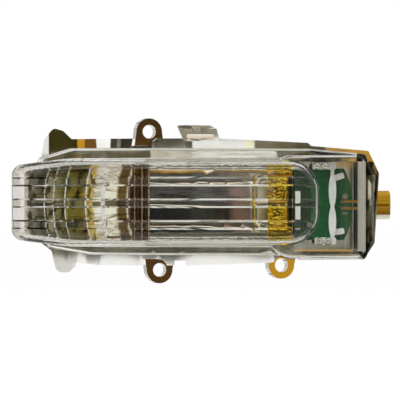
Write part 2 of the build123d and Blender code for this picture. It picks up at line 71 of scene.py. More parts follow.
Colour = tuple[float, float, float]
Scale = tuple[float, float, float]
Span = tuple[float, float]
Stop = tuple[float, Colour]
Stops = tuple[Stop, ...]


class Slot(Enum):
    """Material slots of the record; no piece here is given one."""

    CHROME = "housing_chrome"
    CLEAR = "lens_clear"


def shade(red: int, green: int, blue: int) -> Colour:
    """Linear colour of a display colour.

    Args:
        red: red from 0 to 255.
        green: green from 0 to 255.
        blue: blue from 0 to 255.

    Returns:
        The three linear values.
    """

    def linear(value: int) -> float:
        """Linear value of one display value."""
        part = value / 255
        return part / 12.92 if part <= 0.04045 else ((part + 0.055) / 1.055) ** 2.4

    return linear(red), linear(green), linear(blue)


def reflector_middle() -> float:
    """Height of the reflector's middle, which is that of the circuit board."""
    low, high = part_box("circuit_board")
    return (low[2] + high[2]) / 2


class Socket:
    """A shader output that takes part in arithmetic, each operation adding its Math node."""

    def __init__(self, nodes: "Nodes", socket: bpy.types.NodeSocket) -> None:
        """Keep the node builder and the output."""
        self.nodes = nodes
        self.socket = socket

    def maths(self, operation: str, other: Any = None, swap: bool = False) -> "Socket":
        """Add a Math node.

        Args:
            operation: the node's operation.
            other: a second value or socket, or None.
            swap: put the second value first.

        Returns:
            The node's output.
        """
        pair = [self] if other is None else ([other, self] if swap else [self, other])
        node = self.nodes.add("ShaderNodeMath", {"operation": operation}, dict(enumerate(pair)))
        return self.nodes.out(node)

    def __add__(self, other: Any) -> "Socket":
        """Sum."""
        return self.maths("ADD", other)

    def __radd__(self, other: Any) -> "Socket":
        """Reflected sum."""
        return self.maths("ADD", other, True)

    def __sub__(self, other: Any) -> "Socket":
        """Difference."""
        return self.maths("SUBTRACT", other)

    def __rsub__(self, other: Any) -> "Socket":
        """Reflected difference."""
        return self.maths("SUBTRACT", other, True)

    def __mul__(self, other: Any) -> "Socket":
        """Product."""
        return self.maths("MULTIPLY", other)

    def __rmul__(self, other: Any) -> "Socket":
        """Reflected product."""
        return self.maths("MULTIPLY", other, True)

    def __truediv__(self, other: Any) -> "Socket":
        """Quotient."""
        return self.maths("DIVIDE", other)

    def above(self, limit: Any) -> "Socket":
        """One where the value is above the limit."""
        return self.maths("GREATER_THAN", limit)

    def below(self, limit: Any) -> "Socket":
        """One where the value is below the limit."""
        return self.maths("LESS_THAN", limit)

    def between(self, low: float, high: float) -> "Socket":
        """One where the value lies between two limits."""
        return self.above(low) * self.below(high)

    def within(self, half: float) -> "Socket":
        """One where the value is nearer to zero than half a width."""
        return self.maths("ABSOLUTE").below(half)

    def either(self, other: Any) -> "Socket":
        """The larger of two values."""
        return self.maths("MAXIMUM", other)


class Nodes:
    """Builder of one node tree."""

    def __init__(self, tree: bpy.types.NodeTree) -> None:
        """Empty the tree and keep it."""
        self.tree = tree
        tree.nodes.clear()

    def add(
        self,
        kind: str,
        settings: dict[str, Any] | None = None,
        inputs: dict[Any, Any] | None = None,
    ) -> Any:
        """Add a node.

        Args:
            kind: the node's type name.
            settings: properties set first; "stops" and "steps" hold a ramp's places and colours.
            inputs: values or sockets by input name or index.

        Returns:
            The node.
        """
        node = self.tree.nodes.new(kind)
        for name, value in (settings or {}).items():
            if name in ("stops", "steps"):
                self.fill_ramp(node, value, "CONSTANT" if name == "steps" else "LINEAR")
            else:
                setattr(node, name, value)
        for name, value in (inputs or {}).items():
            self.feed(node.inputs[name], value)
        return node

    @staticmethod
    def fill_ramp(node: Any, stops: Stops, interpolation: str) -> None:
        """Give a colour ramp its stops.

        Args:
            node: the ramp's node.
            stops: places from 0 to 1 with their colours.
            interpolation: how the colours follow each other.
        """
        elements = node.color_ramp.elements
        node.color_ramp.interpolation = interpolation
        while len(elements) < len(stops):
            elements.new(1.0)
        for element, (place, colour) in zip(elements, stops):
            element.position = place
            element.color = (*colour, 1.0)

    def feed(self, target: bpy.types.NodeSocket, value: Any) -> None:
        """Link a socket to an input, or set its value.

        Args:
            target: the input.
            value: a socket, a number, a vector or a colour.
        """
        if isinstance(value, Socket):
            self.tree.links.new(value.socket, target)
        elif isinstance(value, tuple) and len(value) == 3 and target.type == "RGBA":
            target.default_value = (*value, 1.0)
        else:
            target.default_value = value

    def out(self, node: Any, name: Any = 0) -> Socket:
        """Wrap an output of a node."""
        return Socket(self, node.outputs[name])

    def place(self) -> Socket:
        """Position on the piece, in metres."""
        return self.out(self.add("ShaderNodeTexCoord"), "Object")

    def axes(self, vector: Socket) -> tuple[Socket, Socket, Socket]:
        """X, Y and Z of a vector."""
        node = self.add("ShaderNodeSeparateXYZ", None, {0: vector})
        return self.out(node, 0), self.out(node, 1), self.out(node, 2)

    def stretched(self, vector: Socket, scale: Scale) -> Socket:
        """Position scaled on each axis."""
        return self.out(self.add("ShaderNodeMapping", None, {"Vector": vector, "Scale": scale}))

    def joined(self, x: Any, y: Any) -> Socket:
        """Vector of two values, level with zero."""
        return self.out(self.add("ShaderNodeCombineXYZ", None, {0: x, 1: y}))

    def noise(self, vector: Socket, scale: float, detail: float = 2.0) -> Socket:
        """Noise value from 0 to 1."""
        inputs = {"Vector": vector, "Scale": scale, "Detail": detail}
        return self.out(self.add("ShaderNodeTexNoise", None, inputs))

    def blend(self, factor: Any, first: Any, second: Any) -> Socket:
        """Mix of two colours."""
        inputs = {0: factor, 6: first, 7: second}
        return self.out(self.add("ShaderNodeMix", {"data_type": "RGBA"}, inputs), 2)

    def times(self, first: Any, second: Any) -> Socket:
        """Product of two colours."""
        settings = {"data_type": "RGBA", "blend_type": "MULTIPLY"}
        return self.out(self.add("ShaderNodeMix", settings, {0: 1.0, 6: first, 7: second}), 2)

    def ramp(self, value: Socket, stops: Stops) -> Socket:
        """Colour ramp of a value."""
        return self.out(self.add("ShaderNodeValToRGB", {"stops": stops}, {0: value}))

    def steps(self, value: Socket, stops: Stops) -> Socket:
        """Colours of a value in hard steps."""
        return self.out(self.add("ShaderNodeValToRGB", {"steps": stops}, {0: value}))

    def fade(self, value: Socket, span: Span, first: Colour, second: Colour) -> Socket:
        """Colour that turns from one to another over a span of the value."""
        return self.ramp(value, ((span[0], first), (span[1], second)))

    def bump(self, height: Socket, distance: float) -> Socket:
        """Normal bent by a height that is given in units of the distance."""
        return self.out(self.add("ShaderNodeBump", None, {"Distance": distance, "Height": height}))

    def principled(self, **inputs: Any) -> Socket:
        """Principled shader, its inputs named with underscores."""
        named = {name.replace("_", " "): value for name, value in inputs.items()}
        return self.out(self.add("ShaderNodeBsdfPrincipled", None, named))

    def mixed(self, factor: Socket, first: Socket, second: Socket) -> Socket:
        """Mix of two shaders."""
        return self.out(self.add("ShaderNodeMixShader", None, {0: factor, 1: first, 2: second}))

    def surface(self, shader: Socket) -> None:
        """Join a shader to the material's output."""
        self.add("ShaderNodeOutputMaterial", None, {"Surface": shader})


def material_nodes(name: str) -> tuple[bpy.types.Material, Nodes]:
    """New material with an empty tree.

    Args:
        name: the material's name.

    Returns:
        The material and its node builder.
    """
    material = bpy.data.materials.new(name)
    material.use_nodes = True
    return material, Nodes(material.node_tree)


@dataclass(frozen=True)
class MetallisedFinish:
    """Vacuum-metallised plastic, bright, with the soft ripple of the moulding below.

    The metal is painted with reflections on the socket's shroud, gold above a white strip, and in
    dark streaks on the well's inboard wall, and is matt where the lens is welded on. The reflector
    is painted with reflection in bands, with painted highlights on the tips of the teeth and on lines
    in the flutes, and a pebbled ramp painted amber as a reflection. Bands, tips and lines stand at
    millimetres from the drawing's middle.
    """

    name: str = "metallised"
    metal: Colour = (0.98, 0.975, 0.96)
    haze: Colour = (0.91, 0.895, 0.86)
    cloud: float = 90.0
    clouded: Span = (0.35, 0.62)
    roughness: float = 0.018
    uneven: float = 0.02
    matt_roughness: float = 0.35
    ripple: float = 0.012 * MM
    ripple_length: float = 9.0 * MM
    along: Scale = (1.0, 0.0, 0.0)

    shroud: float = 5.5 * MM
    shroud_radius: float = 5.5 * MM
    # painted reflection on the shroud, by height: a white strip at the bottom, brown to gold above
    shroud_reflection: Stops = (
        (0.0, shade(240, 238, 226)),
        (0.14, shade(240, 238, 226)),
        (0.17, shade(140, 96, 30)),
        (0.38, shade(176, 128, 36)),
        (1.0, shade(222, 172, 52)),
    )

    well_below: float = 4.2 * MM
    well_above: float = 2.6 * MM
    weld: Span = (1.2 * MM, 4.5 * MM)
    weld_front: float = 5 * MM
    weld_colour: Colour = shade(252, 250, 244)
    grain: float = 900.0
    grained: Span = (0.3, 0.6)
    # painted reflection: dark olive streaks on the well's inboard wall
    wall: Colour = shade(74, 78, 52)
    streak: float = 420.0
    streaked: Span = (0.44, 0.54)
    upright: Scale = (1.0, 1.0, 0.3)

    board_from_middle: float = 36.6 * MM
    # painted reflection: the reflector's metal tinted white, olive and brown in bands along it
    painted_reflection_tones: Stops = (
        (-80.0, shade(226, 222, 210)),
        (-57.5, shade(206, 200, 168)),
        (-53.0, shade(152, 144, 74)),
        (-46.5, shade(166, 154, 72)),
        (-43.6, shade(226, 208, 142)),
        (-40.6, shade(250, 244, 218)),
        (-39.0, shade(255, 255, 255)),
        (-32.4, shade(255, 255, 250)),
        (-31.4, shade(112, 88, 50)),
        (-28.3, shade(112, 88, 50)),
        (-28.0, shade(255, 252, 244)),
        (-27.0, shade(255, 252, 244)),
        (-26.7, shade(130, 104, 72)),
        (-19.4, shade(140, 114, 76)),
        (-18.8, shade(255, 255, 255)),
    )
    tones_half: float = 15.2 * MM
    flutes: float = -25.5 * MM
    # painted reflection: olive patches on the outboard teeth
    patch: Colour = shade(104, 96, 60)
    patched: Span = (0.36, 0.52)
    patch_end: float = -40 * MM
    patch_scale: float = 420.0
    patch_rise: float = 0.45

    # painted highlights: matt near-white lines on the tips of the teeth and, weaker, on lines in the
    # flutes
    painted_highlights: tuple[float, ...] = (-43.9, -52.2, -56.8, -60.4)
    ridge_bow: float = 9.8
    ridge_half: float = 0.36 * MM
    flute_highlights: tuple[float, ...] = (-24.7, -21.9, -19.3)
    flute_highlight_half: float = 0.2 * MM
    flute_highlight_share: float = 0.45
    glint: Colour = shade(252, 251, 246)
    glint_scale: float = 700.0
    glint_rise: float = 2.0
    glint_gap: float = 0.42

    # painted reflection: the ramp by the diodes is coloured amber
    ramp_length: float = 10.0 * MM
    ramp_gap: float = 0.5 * MM
    ramp_depth: float = 2 * MM
    amber: Colour = shade(244, 214, 70)
    pebble: float = 0.034 * MM
    pebble_length: float = 1.5 * MM

    def material(self, toned: bool = False) -> bpy.types.Material:
        """Build the material.

        Args:
            toned: the finish is that of the reflector, with painted reflection and highlights.

        Returns:
            The material.
        """
        material, nodes = material_nodes(self.name + ("_reflector" if toned else ""))
        place = nodes.place()
        cloud = nodes.noise(place, self.cloud, 3.0)
        colour, matt = self.plain(nodes, place, cloud)
        ripple = nodes.noise(nodes.stretched(place, self.along), 1 / self.ripple_length)
        height = ripple * (self.ripple / self.pebble)
        if toned:
            colour, matt, pebbles = self.reflector(nodes, place, colour)
            height = height + pebbles
        nodes.surface(
            nodes.principled(
                Base_Color=colour,
                Metallic=1.0 - matt,
                Roughness=cloud * self.uneven + self.roughness + matt * self.matt_roughness,
                Normal=nodes.bump(height, self.pebble),
            )
        )
        return material

    def plain(self, nodes: Nodes, place: Socket, cloud: Socket) -> tuple[Socket, Socket]:
        """Colour of the metal, of the socket's shroud and of what stands round the board, with painted
        reflection on the shroud and on the well's inboard wall.

        Args:
            nodes: the material's builder.
            place: position on the piece.
            cloud: soft noise over the piece.

        Returns:
            The colour, and one where the lens is welded on.
        """
        x, y, z = nodes.axes(place)
        low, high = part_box("circuit_board")
        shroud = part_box("rear_housing")[1][0] - self.shroud
        socket = (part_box("terminal_upper")[1][2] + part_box("terminal_lower")[0][2]) / 2
        level = (z - (socket - self.shroud_radius)) / (2 * self.shroud_radius)
        colour = nodes.fade(cloud, self.clouded, self.haze, self.metal)
        # painted reflection: the shroud's chrome is coloured by height, as the bands that a chrome
        # cylinder reflects
        colour = nodes.blend(x.above(shroud), colour, nodes.ramp(level, self.shroud_reflection))
        well = z.between(low[2] - self.well_below, high[2] + self.well_above)
        near, far = high[0] + self.weld[0], high[0] + self.weld[1]
        weld = x.between(near, far) * y.below(low[1] - self.weld_front) * well
        grain = nodes.noise(place, self.grain, 3.0)
        welded = nodes.fade(grain, self.grained, self.haze, self.weld_colour)
        colour = nodes.blend(weld, colour, welded)
        # painted reflection: the well's inboard wall is darkened in upright olive streaks
        wall = x.between(far, shroud) * y.below(low[1]) * well
        streak = nodes.noise(nodes.stretched(place, self.upright), self.streak)
        painted_wall_reflection = nodes.fade(streak, self.streaked, self.wall, WHITE)
        return nodes.blend(wall, colour, nodes.times(colour, painted_wall_reflection)), weld

    def reflector(
        self, nodes: Nodes, place: Socket, colour: Socket
    ) -> tuple[Socket, Socket, Socket]:
        """Paint reflection in bands, highlights on the ridges and amber reflection on the pebbled ramp.

        Args:
            nodes: the material's builder.
            place: position on the piece.
            colour: the metal's colour.

        Returns:
            The colour, the mask of the painted highlights and the height of the pebbles.
        """
        x, y, z = nodes.axes(place)
        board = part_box("circuit_board")[0]
        drawing = board[0] - self.board_from_middle
        rise = z - reflector_middle()
        # painted reflection in bands along the reflector
        colour = nodes.times(colour, self.tone(nodes, x, rise, drawing))
        # painted reflection: the chrome ramp by the diodes is coloured amber
        ramp = x.between(board[0] - self.ramp_length, board[0] - self.ramp_gap)
        ramp = ramp * y.above(board[1] + self.ramp_depth)
        colour = nodes.blend(ramp, colour, self.amber)
        # painted highlights on the tips and flute lines, near-white and matt
        painted_highlights = self.highlight_mask(nodes, x, rise, drawing)
        pebbles = nodes.noise(place, 1 / self.pebble_length, 1.0) * ramp
        return nodes.blend(painted_highlights, colour, self.glint), painted_highlights, pebbles

    def highlight_mask(self, nodes: Nodes, x: Socket, rise: Socket, drawing: float) -> Socket:
        """Mask of the painted highlights on the tips of the teeth and on lines in the flutes.

        The tips bow towards the middle of the lamp above and below.

        Args:
            nodes: the material's builder.
            x: place along the lamp.
            rise: height over the reflector's middle.
            drawing: where the drawing's middle is.

        Returns:
            One on a tip and less on a flute line, both broken by noise.
        """
        bowed = x - rise * rise * self.ridge_bow - drawing
        tips = [(bowed - place * MM).within(self.ridge_half) for place in self.painted_highlights]
        lines = [(x - (drawing + place * MM)).within(self.flute_highlight_half) for place in self.flute_highlights]
        marks = reduce(Socket.either, tips + [line * self.flute_highlight_share for line in lines])
        flow = nodes.noise(nodes.joined(x, rise * self.glint_rise), self.glint_scale, 1.0)
        return marks * flow.above(self.glint_gap) * rise.within(self.tones_half)

    def tone(self, nodes: Nodes, x: Socket, rise: Socket, drawing: float) -> Socket:
        """Painted reflection in bands along the reflector, with painted olive patches outboard.

        Args:
            nodes: the material's builder.
            x: place along the lamp.
            rise: height over the reflector's middle.
            drawing: where the drawing's middle is.

        Returns:
            The colour that the metal is multiplied by.
        """
        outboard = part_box("rear_housing")[0][0]
        span = drawing + self.board_from_middle - outboard
        stops = [((place * MM + drawing - outboard) / span, colour) for place, colour in self.painted_reflection_tones]
        toothed = x.below(drawing + self.flutes)
        along = x - rise * rise * toothed * self.ridge_bow
        tone = nodes.ramp((along - outboard) / span, tuple(stops))
        # painted reflection: olive patches over the outboard teeth
        patch = nodes.noise(nodes.joined(x, rise * self.patch_rise), self.patch_scale)
        patches = nodes.fade(patch, self.patched, self.patch, WHITE)
        outer = x.below(drawing + self.patch_end)
        return nodes.blend(outer, tone, nodes.times(tone, patches))


@dataclass(frozen=True)
class ClearFinish:
    """Clear moulding with faint flow lines, a little pinker at its outboard end.

    Shadow rays pass straight through, so that light reaches what lies behind.
    """

    name: str = "clear_moulding"
    tint: Colour = (0.972, 0.974, 0.955)
    end_tint: Colour = (0.90, 0.865, 0.84)
    end: float = 5.5 * MM
    index: float = 1.49
    flow: float = 0.004 * MM
    flow_scale: float = 160.0
    flow_stretch: Scale = (0.3, 1.0, 1.6)

    def material(self) -> bpy.types.Material:
        """Build the material.

        Returns:
            The material.
        """
        material, nodes = material_nodes(self.name)
        place = nodes.place()
        flow = nodes.noise(nodes.stretched(place, self.flow_stretch), self.flow_scale)
        clear_end = nodes.axes(place)[0].below(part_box("front_lens")[0][0] + self.end)
        shader = nodes.principled(
            Base_Color=nodes.blend(clear_end, self.tint, self.end_tint),
            Roughness=0.0,
            IOR=self.index,
            Transmission_Weight=1.0,
            Normal=nodes.bump(flow, self.flow),
        )
        shadow = nodes.out(nodes.add("ShaderNodeLightPath"), "Is Shadow Ray")
        through = nodes.out(nodes.add("ShaderNodeBsdfTransparent", None, {"Color": self.tint}))
        nodes.surface(nodes.mixed(shadow, shader, through))
        return material


@dataclass(frozen=True)
class BoardFinish:
    """Solder mask over copper: green, with paler tracks and a fine gloss, and painted shade outboard of
    its retainer.
    """

    name: str = "solder_mask"
    mask: Colour = shade(12, 78, 38)
    track: Colour = shade(34, 112, 62)
    track_share: float = 0.3
    shaded: Colour = shade(40, 52, 42)
    shaded_share: float = 0.8
    cell: float = 3.0 * MM
    crooked: float = 0.35
    line: float = 0.07
    raised: float = 0.03 * MM
    cloud: float = 240.0
    cloud_share: float = 0.4
    roughness: float = 0.22
    uneven: float = 0.2

    def material(self) -> bpy.types.Material:
        """Build the material.

        Returns:
            The material.
        """
        material, nodes = material_nodes(self.name)
        place = nodes.place()
        cells = nodes.add(
            "ShaderNodeTexVoronoi",
            {"feature": "DISTANCE_TO_EDGE"},
            {"Vector": place, "Scale": 1 / self.cell, "Randomness": self.crooked},
        )
        lines = nodes.out(cells, "Distance").below(self.line)
        cloud = nodes.noise(place, self.cloud)
        pale = lines * self.track_share + cloud * self.cloud_share
        colour = nodes.blend(pale, self.mask, self.track)
        # painted shade: the board is darker outboard of its retainer
        under = nodes.axes(place)[0].below(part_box("board_retainer")[0][0])
        nodes.surface(
            nodes.principled(
                Base_Color=nodes.blend(under * self.shaded_share, colour, self.shaded),
                Roughness=cloud * self.uneven + self.roughness,
                Normal=nodes.bump(lines, self.raised),
            )
        )
        return material


@dataclass(frozen=True)
class MouldedFinish:
    """Moulded plastic or ceramic with a fine grain and soft variation."""

    name: str
    body: Colour
    worn: Colour
    roughness: float = 0.35
    uneven: float = 0.2
    cloud: float = 320.0
    grain: float = 900.0
    depth: float = 0.01 * MM

    def material(self) -> bpy.types.Material:
        """Build the material.

        Returns:
            The material.
        """
        material, nodes = material_nodes(self.name)
        place = nodes.place()
        grain = nodes.noise(place, self.grain, 3.0)
        nodes.surface(
            nodes.principled(
                Base_Color=nodes.blend(nodes.noise(place, self.cloud), self.body, self.worn),
                Roughness=grain * self.uneven + (self.roughness - self.uneven / 2),
                Normal=nodes.bump(grain, self.depth),
            )
        )
        return material


@dataclass(frozen=True)
class PlatedFinish:
    """Plated or soldered metal with fine scratches along it."""

    name: str
    metal: Colour
    dull: Colour
    roughness: float = 0.18
    uneven: float = 0.15
    cloud: float = 500.0
    scratches: float = 5000.0
    scratched: Scale = (0.1, 1.0, 1.0)
    depth: float = 0.004 * MM

    def material(self) -> bpy.types.Material:
        """Build the material.

        Returns:
            The material.
        """
        material, nodes = material_nodes(self.name)
        place = nodes.place()
        cloud = nodes.noise(place, self.cloud, 3.0)
        lines = nodes.noise(nodes.stretched(place, self.scratched), self.scratches)
        nodes.surface(
            nodes.principled(
                Base_Color=nodes.blend(cloud, self.metal, self.dull),
                Metallic=1.0,
                Roughness=cloud * self.uneven + self.roughness,
                Normal=nodes.bump(lines, self.depth),
            )
        )
        return material


def smooth_copy(node: str, name: str, limit: float = 25.0) -> bpy.types.Object:
    """Copy a solid's mesh with its doubles merged and its curved faces smooth.

    Args:
        node: the solid's node.
        name: the new piece's name.
        limit: angle in degrees above which an edge stays sharp.

    Returns:
        The new piece, which stands for the node.
    """
    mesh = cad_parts[node].data.copy()
    work = bmesh.new()
    work.from_mesh(mesh)
    bmesh.ops.remove_doubles(work, verts=work.verts, dist=DOUBLES)
    flat = math.radians(FLAT_ANGLE)
    bmesh.ops.dissolve_limit(work, angle_limit=flat, verts=work.verts, edges=work.edges)
    for face in work.faces:
        face.smooth = True
    for edge in work.edges:
        joined = len(edge.link_faces) == 2
        edge.smooth = joined and edge.calc_face_angle(0.0) < math.radians(limit)
    work.to_mesh(mesh)
    work.free()
    piece = bpy.data.objects.new(name, mesh)
    bpy.context.scene.collection.objects.link(piece)
    weights = piece.modifiers.new("flat_faces", "WEIGHTED_NORMAL")
    weights.mode = "FACE_AREA"
    weights.weight = FAVOUR_LARGE_FACES
    weights.keep_sharp = True
    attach(piece, "root")
    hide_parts(node)
    return piece


def dress(piece: bpy.types.Object, *materials: bpy.types.Material) -> None:
    """Give a piece its materials, and report it.

    Args:
        piece: the piece.
        materials: its materials, the first for all faces that aren't given another.
    """
    piece.data.materials.clear()
    for material in materials:
        piece.data.materials.append(material)
        LOG.info("%s: %d faces, %s", piece.name, len(piece.data.polygons), material.name)


@dataclass
class Housing:
    """Metallised housing with its reflector."""

    finish: MetallisedFinish = MetallisedFinish()
    facing: float = 0.1

    def build(self) -> None:
        """Dress the housing, and give the reflector's faces the finish with painted reflection."""
        housing = smooth_copy("rear_housing", "metallised_housing")
        dress(housing, self.finish.material(), self.finish.material(toned=True))
        middle = reflector_middle()
        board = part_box("circuit_board")[0][0]
        for face in housing.data.polygons:
            level = abs(face.center.z - middle) < self.finish.tones_half
            inside = level and face.center.x < board
            face.material_index = int(inside and face.normal.y < self.facing)


@dataclass
class Lens:
    """Clear lens."""

    finish: ClearFinish = ClearFinish()

    def build(self) -> None:
        """Dress the lens."""
        dress(smooth_copy("front_lens", "clear_lens"), self.finish.material())


@dataclass
class Board:
    """Circuit board with what is soldered to it."""

    mask: BoardFinish = BoardFinish()
    retainer: MouldedFinish = MouldedFinish(
        "retainer_resin", shade(252, 253, 250), shade(206, 212, 204), 0.15
    )
    ceramic: MouldedFinish = MouldedFinish(
        "fired_ceramic", shade(52, 52, 50), shade(150, 148, 140), 0.3
    )
    black: MouldedFinish = MouldedFinish("diode_mould", shade(18, 18, 19), shade(40, 40, 42), 0.4)
    package: MouldedFinish = MouldedFinish(
        "package_white", shade(240, 238, 230), shade(222, 220, 208), 0.35
    )
    resin: MouldedFinish = MouldedFinish(
        "amber_resin", shade(226, 168, 36), shade(240, 200, 80), 0.15
    )
    solder: PlatedFinish = PlatedFinish("solder", shade(210, 208, 200), shade(160, 158, 150), 0.12)
    can: PlatedFinish = PlatedFinish("bright_can", shade(214, 212, 206), shade(176, 172, 162), 0.16)
    gold: PlatedFinish = PlatedFinish(
        "flash_plating", shade(226, 190, 110), shade(190, 150, 76), 0.15
    )

    def build(self) -> None:
        """Dress the board and its parts."""
        plan = {
            self.mask: ("circuit_board",),
            self.retainer: ("board_retainer",),
            self.solder: ("solder_joints",),
            self.ceramic: ("resistor_upper", "resistor_lower", "resistor_edge"),
            self.black: ("diode",),
            self.can: ("capacitor",),
            self.package: ("led_body_upper", "led_body_lower"),
            self.resin: ("led_resin_upper", "led_resin_lower"),
            self.gold: ("terminal_upper", "terminal_lower"),
        }
        for finish, names in plan.items():
            material = finish.material()
            for name in names:
                dress(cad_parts[name], material)


@dataclass
class Surroundings:
    """What polished surfaces see, in bands by azimuth and by height, both in degrees.

    Azimuth is 0 towards the viewer and positive inboard. Each list of bands is seen from its own
    height up to the next one's. Below them come the shadow line and the table, and past both ends
    the bands beyond and then the sky. Over that order lie what the flange and the flat mirror see,
    and within the tall span the level bands reach further down. What the camera sees past the lamp
    and through it is white.
    """

    level: Stops = (
        (-180, shade(226, 226, 222)),
        (-95, shade(120, 118, 104)),
        (-80, shade(92, 90, 72)),
        (-66, shade(236, 234, 226)),
        (-30, shade(48, 47, 44)),
        (-5, shade(30, 32, 36)),
        (2.75, shade(84, 76, 52)),
        (8, shade(70, 64, 46)),
        (25, shade(80, 56, 28)),
        (36.3, shade(186, 138, 34)),
        (37.9, shade(204, 192, 120)),
        (45, shade(240, 236, 208)),
        (55, shade(255, 255, 252)),
        (75, shade(206, 206, 200)),
    )
    ledge: Stops = (
        (-180, shade(180, 178, 168)),
        (-80, shade(112, 105, 82)),
        (-27.5, shade(226, 222, 208)),
        (-20, shade(255, 255, 252)),
        (-9.5, shade(128, 122, 104)),
        (-3.6, shade(48, 48, 48)),
        (0.9, shade(186, 142, 50)),
        (8, shade(206, 166, 48)),
    )
    high: Stops = (
        (-180, shade(232, 232, 230)),
        (-112, shade(180, 180, 174)),
        (-90, shade(120, 118, 104)),
        (-80, shade(54, 48, 12)),
        (-60.2, shade(196, 144, 38)),
        (-54.5, shade(112, 78, 34)),
        (-49.5, shade(255, 255, 252)),
        (-44.5, shade(60, 56, 46)),
        (-41.5, shade(128, 126, 116)),
        (-40.5, shade(46, 42, 34)),
        (-37, shade(96, 94, 84)),
        (-36, shade(40, 38, 30)),
        (-28, shade(58, 54, 40)),
        (-20, shade(242, 242, 238)),
        (-13.2, shade(250, 248, 214)),
        (-11.3, shade(92, 86, 54)),
        (-6, shade(70, 62, 34)),
        (-2.2, shade(186, 138, 36)),
        (8, shade(206, 166, 48)),
        (25, shade(70, 50, 26)),
        (36.3, shade(190, 142, 32)),
        (45, shade(100, 94, 42)),
        (55, shade(255, 255, 252)),
        (75, shade(214, 214, 210)),
    )
    hooked: Stops = (
        (-180, shade(232, 232, 230)),
        (-90, shade(120, 118, 104)),
        (-80, shade(54, 48, 12)),
        (-60.2, shade(196, 144, 38)),
        (-54.5, shade(112, 78, 34)),
        (-49.5, shade(255, 255, 252)),
        (-44.5, shade(56, 52, 40)),
        (-24, shade(112, 104, 84)),
        (-21.4, shade(70, 60, 40)),
        (-20.6, shade(150, 144, 126)),
        (-19.6, shade(84, 74, 50)),
        (-18.4, shade(132, 124, 104)),
        (-17.4, shade(66, 58, 42)),
        (-16.4, shade(150, 146, 130)),
        (-3, shade(250, 250, 246)),
        (3, shade(206, 166, 48)),
        (25, shade(70, 50, 26)),
        (36.3, shade(190, 142, 32)),
        (45, shade(236, 236, 230)),
    )
    table: Stops = (
        (-180, shade(214, 212, 206)),
        (-60, shade(250, 250, 248)),
        (-4.6, shade(56, 56, 54)),
        (3, shade(232, 226, 206)),
        (25, shade(226, 224, 214)),
    )
    beyond: Stops = (
        (-180, shade(190, 188, 180)),
        (-75, shade(255, 255, 253)),
        (-30, shade(206, 203, 190)),
        (-4.6, shade(96, 93, 84)),
        (2.75, shade(168, 162, 144)),
        (8, shade(250, 246, 232)),
        (25, shade(112, 96, 66)),
        (36.3, shade(150, 132, 80)),
        (45, shade(150, 142, 116)),
        (55, shade(255, 255, 252)),
    )
    shadow_line: Colour = shade(100, 95, 74)
    sky: Colour = shade(244, 243, 238)

    shadow_from: float = -1.01
    level_from: float = -0.865
    ledge_from: float = 0.62
    high_from: float = 0.82
    hooked_from: float = 1.135
    beyond_from: float = 1.7
    sky_from: float = 10.5

    mirror_bands: Stops = (
        (-4.5, shade(28, 30, 34)),
        (-0.1, shade(52, 54, 52)),
        (0.14, shade(32, 32, 32)),
        (0.48, shade(116, 88, 76)),
        (0.80, shade(46, 42, 36)),
        (0.94, shade(196, 190, 166)),
        (1.05, shade(128, 112, 62)),
        (1.35, shade(74, 76, 60)),
        (1.9, shade(150, 150, 138)),
        (2.7, shade(52, 56, 46)),
    )
    flange: Span = (-80.0, -4.8)
    tall: Span = (25.0, 45.0)
    tall_from: float = -14.0

    stir: float = 1.4
    stir_cells: Span = (0.9, 6.0)
    hook: Span = (-24.5, -15.0)
    swirl: Stops = (
        (0.32, shade(60, 50, 22)),
        (0.40, shade(140, 132, 98)),
        (0.45, shade(44, 38, 18)),
        (0.50, shade(226, 222, 204)),
        (0.55, shade(54, 48, 28)),
        (0.61, shade(160, 152, 120)),
        (0.68, shade(64, 58, 34)),
    )
    swirl_cells: Span = (0.8, 20.0)
    dim: Colour = shade(120, 116, 102)
    dimmed: Span = (0.36, 0.56)
    dim_from: float = -46.0
    dim_cells: Span = (0.06, 0.9)
    fine: Colour = shade(150, 144, 118)
    finely: Span = (0.42, 0.52)
    fine_cells: Span = (0.12, 13.0)
    fill: float = 0.92

    def build(self) -> None:
        """Build the world."""
        world = bpy.data.worlds.new("surroundings")
        world.use_nodes = True
        bpy.context.scene.world = world
        nodes = Nodes(world.node_tree)
        x, y, z = nodes.axes(nodes.out(nodes.add("ShaderNodeTexCoord"), "Generated"))
        azimuth = x.maths("ARCTAN2", y * -1.0) * DEGREES
        height = z.maths("ARCSINE") * DEGREES
        seen = self.reflected(nodes, azimuth, height)
        path = nodes.add("ShaderNodeLightPath")
        mirrored = nodes.out(path, "Glossy Depth").above(0.5) * nodes.out(path, "Is Glossy Ray")
        strength = 1.0 - nodes.out(path, "Is Diffuse Ray") * (1.0 - self.fill)
        inputs = {"Color": nodes.blend(mirrored, WHITE, seen), "Strength": strength}
        background = nodes.out(nodes.add("ShaderNodeBackground", None, inputs))
        nodes.add("ShaderNodeOutputWorld", None, {"Surface": background})
        LOG.info("surroundings: %s", world.name)

